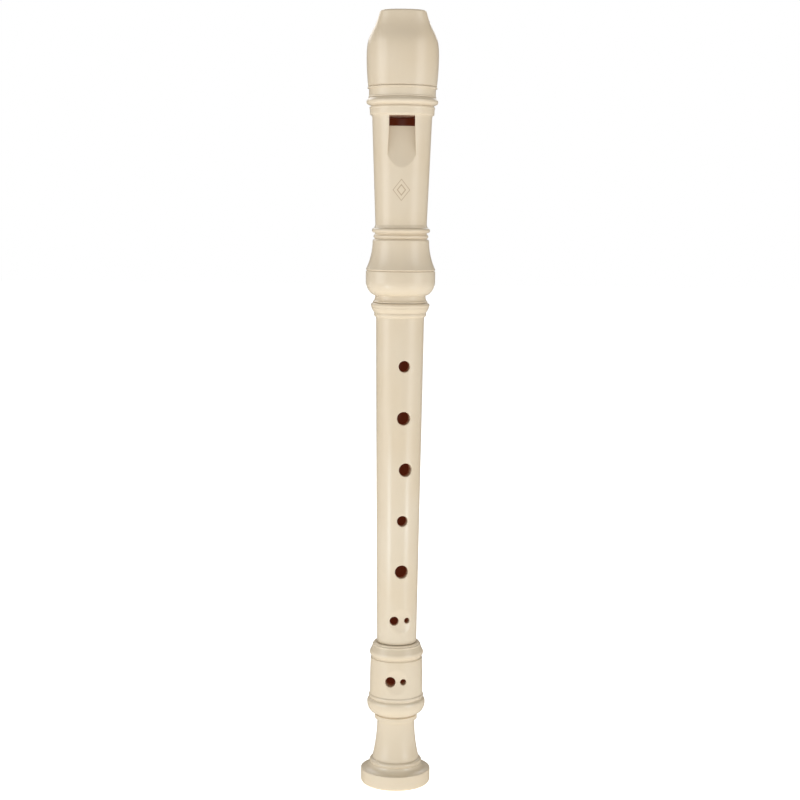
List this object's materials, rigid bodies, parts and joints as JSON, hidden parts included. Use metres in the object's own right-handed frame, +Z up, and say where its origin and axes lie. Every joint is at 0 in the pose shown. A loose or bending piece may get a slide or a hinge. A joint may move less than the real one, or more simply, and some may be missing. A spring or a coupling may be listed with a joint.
{
  "type": "soprano recorder",
  "caption": "Moulded soprano recorder: beak and windway block in a turned-style head, a tapered middle joint with finger holes, and a belled foot joint.",
  "frame": {"origin": "centre of the foot's end face, on the axis of the bore", "axes": "+Z up the bore axis to the beak's tip; the window and the finger holes face -Y; +X to the player's left"},
  "size_m": [0.03, 0.03, 0.3285],
  "materials": {
    "beak_abs": "ivory ABS, satin gloss as moulded",
    "block_abs": "ivory ABS, satin gloss as moulded",
    "head_abs": "ivory ABS, satin gloss as moulded",
    "middle_abs": "ivory ABS, satin gloss as moulded",
    "foot_abs": "ivory ABS, satin gloss as moulded"
  },
  "bodies": {
    "middle": {"middle_joint": "middle_abs"},
    "head": {"head_barrel": "head_abs", "beak_cap": "beak_abs", "windway_block": "block_abs"},
    "foot": {"foot_joint": "foot_abs"}
  },
  "joints": [
    {"name": "head_pull", "type": "slide", "parent": "middle", "child": "head", "axis": [0, 0, 1], "range_m": [0, 0.03]},
    {"name": "foot_turn", "type": "hinge", "parent": "middle", "child": "foot", "pos_m": [0, 0, 0.055], "axis": [0, 0, 1], "continuous": true}
  ]
}
